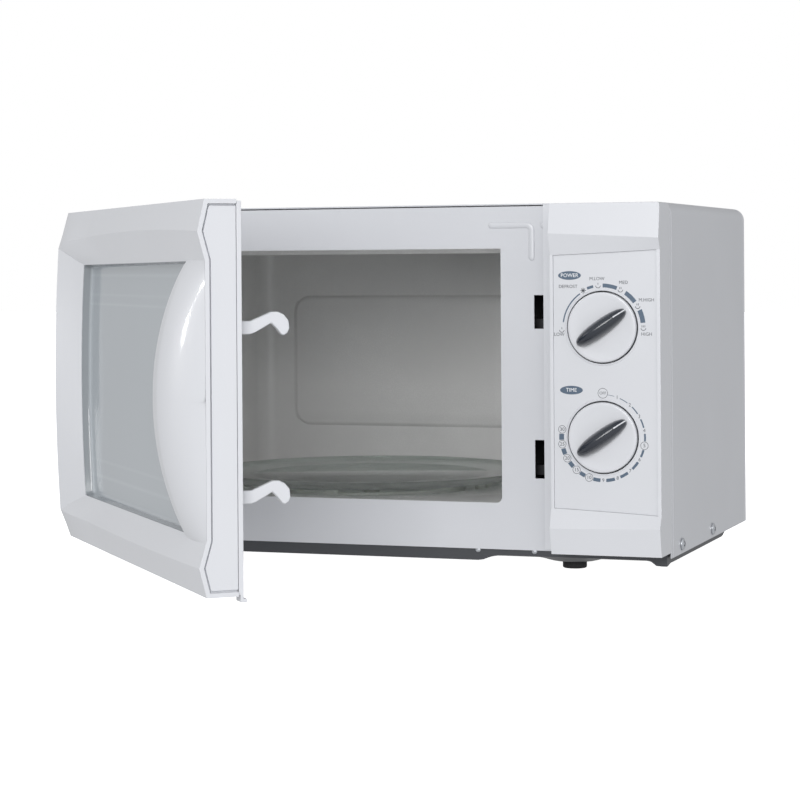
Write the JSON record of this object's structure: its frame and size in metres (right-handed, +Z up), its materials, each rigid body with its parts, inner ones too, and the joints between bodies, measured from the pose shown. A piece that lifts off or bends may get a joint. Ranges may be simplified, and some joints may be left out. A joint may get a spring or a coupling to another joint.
{
  "type": "microwave oven",
  "caption": "Countertop microwave oven with a left-hung door with a crescent handle, two rotary dials and a glass turntable, door ajar.",
  "frame": {"origin": "centre of the whole oven's footprint with the door ajar as modelled, at the underside of its feet", "axes": "+X to the oven's right, +Y from the door to the back, +Z up"},
  "size_m": [0.457, 0.5554, 0.2557],
  "materials": {
    "white_enamel": "satin white powder coat",
    "white_plastic": "semi-gloss moulded white",
    "cavity_enamel": "satin warm grey paint",
    "dark_pan": "dull dark grey coated steel",
    "zinc_steel": "zinc-plated sheet",
    "screw_steel": "bright plated screw",
    "foot_rubber": "matt black rubber",
    "black_plastic": "matt black moulding",
    "mica_sheet": "layered mica board",
    "transformer_core": "varnished laminations",
    "copper_winding": "enamelled copper wire",
    "circuit_board": "green laminate",
    "clear_glass": "clear, faint green",
    "window_panel": "smoked grey-blue panel",
    "window_film": "clear film",
    "door_steel": "perforated painted screen",
    "natural_plastic": "unpainted acetal",
    "dial_overlay": "printed satin panel",
    "dial_grey": "glossy slate grey"
  },
  "bodies": {
    "root": {"outer_wrapper": "white_enamel", "rear_panel": "zinc_steel", "base_pan": "dark_pan", "front_frame": "white_enamel", "latch_plate": "white_enamel", "cavity_liner": "cavity_enamel", "wrapper_screw_right_1": "screw_steel", "wrapper_screw_right_2": "screw_steel", "wrapper_screw_left_1": "screw_steel", "wrapper_screw_left_2": "screw_steel", "foot_front_left": "foot_rubber", "foot_front_right": "foot_rubber", "foot_rear_left": "foot_rubber", "foot_rear_right": "foot_rubber", "cord_gland": "black_plastic", "waveguide": "zinc_steel", "waveguide_cover": "mica_sheet", "magnetron": "zinc_steel", "hv_transformer": "transformer_core", "hv_capacitor": "zinc_steel", "hv_diode": "black_plastic", "fan_shroud": "zinc_steel", "fan_motor": "copper_winding", "oven_lamp": "clear_glass", "line_filter_board": "circuit_board", "thermal_cutout": "black_plastic", "turntable_motor": "zinc_steel", "latch_board": "natural_plastic", "upper_interlock_switch": "black_plastic", "lower_interlock_switch": "black_plastic", "control_panel": "white_plastic", "panel_edge": "white_plastic", "dial_plate": "dial_overlay", "control_bracket": "zinc_steel", "power_switch_unit": "black_plastic", "timer_switch_unit": "black_plastic", "upper_hinge_bracket": "zinc_steel", "lower_hinge_bracket": "zinc_steel"},
    "door": {"door_frame": "white_plastic", "door_window": "window_panel", "door_screen": "door_steel", "door_film": "window_film", "door_inner_cover": "white_plastic"},
    "latch": {"latch_lever": "natural_plastic", "latch_spring": "zinc_steel"},
    "turntable": {"drive_coupler": "natural_plastic", "glass_tray": "clear_glass"},
    "roller_carrier": {"roller_ring": "natural_plastic"},
    "roller_a": {"roller_1": "natural_plastic"},
    "roller_b": {"roller_2": "natural_plastic"},
    "roller_c": {"roller_3": "natural_plastic"},
    "fan": {"fan_blade": "black_plastic"},
    "power_dial": {"power_knob": "white_plastic", "power_grip": "dial_grey", "power_shaft": "zinc_steel"},
    "timer_dial": {"timer_knob": "white_plastic", "timer_grip": "dial_grey", "timer_shaft": "zinc_steel"},
    "upper_plunger": {"upper_switch_plunger": "natural_plastic"},
    "lower_plunger": {"lower_switch_plunger": "natural_plastic"}
  },
  "joints": [
    {"name": "door_hinge", "type": "hinge", "parent": "root", "child": "door", "pos_m": [-0.20832, 0.00394, 0.135], "axis": [0, 0, -1], "range_deg": [-49.8, 50]},
    {"name": "latch_slide", "type": "slide", "parent": "door", "child": "latch", "axis": [0, 0, 1], "range_m": [0, 0.0055], "stiffness_N_per_m": 250, "springref_m": -0.008, "deforming": ["latch_spring"]},
    {"name": "power_turn", "type": "hinge", "parent": "root", "child": "power_dial", "pos_m": [0.18568, -0.00656, 0.1706], "axis": [0, 1, 0], "range_deg": [-149, 35]},
    {"name": "timer_turn", "type": "hinge", "parent": "root", "child": "timer_dial", "pos_m": [0.18568, -0.00656, 0.0962], "axis": [0, 1, 0], "range_deg": [-55, 225]},
    {"name": "turntable_spin", "type": "hinge", "parent": "root", "child": "turntable", "pos_m": [-0.03612, 0.14344, 0.05], "axis": [0, 0, 1], "continuous": true},
    {"name": "ring_spin", "type": "hinge", "parent": "root", "child": "roller_carrier", "pos_m": [-0.03612, 0.14344, 0.0442], "axis": [0, 0, 1], "continuous": true},
    {"name": "roller_1_spin", "type": "hinge", "parent": "roller_carrier", "child": "roller_a", "pos_m": [0.0375, 0.18594, 0.0442], "axis": [0.866, 0.5, 0], "continuous": true},
    {"name": "roller_2_spin", "type": "hinge", "parent": "roller_carrier", "child": "roller_b", "pos_m": [-0.10973, 0.18594, 0.0442], "axis": [-0.866, 0.5, 0], "continuous": true},
    {"name": "roller_3_spin", "type": "hinge", "parent": "roller_carrier", "child": "roller_c", "pos_m": [-0.03612, 0.05844, 0.0442], "axis": [0, -1, 0], "continuous": true},
    {"name": "fan_spin", "type": "hinge", "parent": "root", "child": "fan", "pos_m": [0.17588, 0.24344, 0.168], "axis": [0, 1, 0], "continuous": true},
    {"name": "upper_plunger_press", "type": "slide", "parent": "root", "child": "upper_plunger", "axis": [0, 1, 0], "range_m": [0, 0.0018], "stiffness_N_per_m": 200, "springref_m": -0.004},
    {"name": "lower_plunger_press", "type": "slide", "parent": "root", "child": "lower_plunger", "axis": [0, 1, 0], "range_m": [0, 0.0018], "stiffness_N_per_m": 200, "springref_m": -0.004}
  ],
  "couplings": [
    {"joint": "ring_spin", "follows": "turntable_spin", "ratio": 0.5},
    {"joint": "roller_1_spin", "follows": "turntable_spin", "ratio": -6.746},
    {"joint": "roller_2_spin", "follows": "turntable_spin", "ratio": -6.746},
    {"joint": "roller_3_spin", "follows": "turntable_spin", "ratio": -6.746}
  ]
}
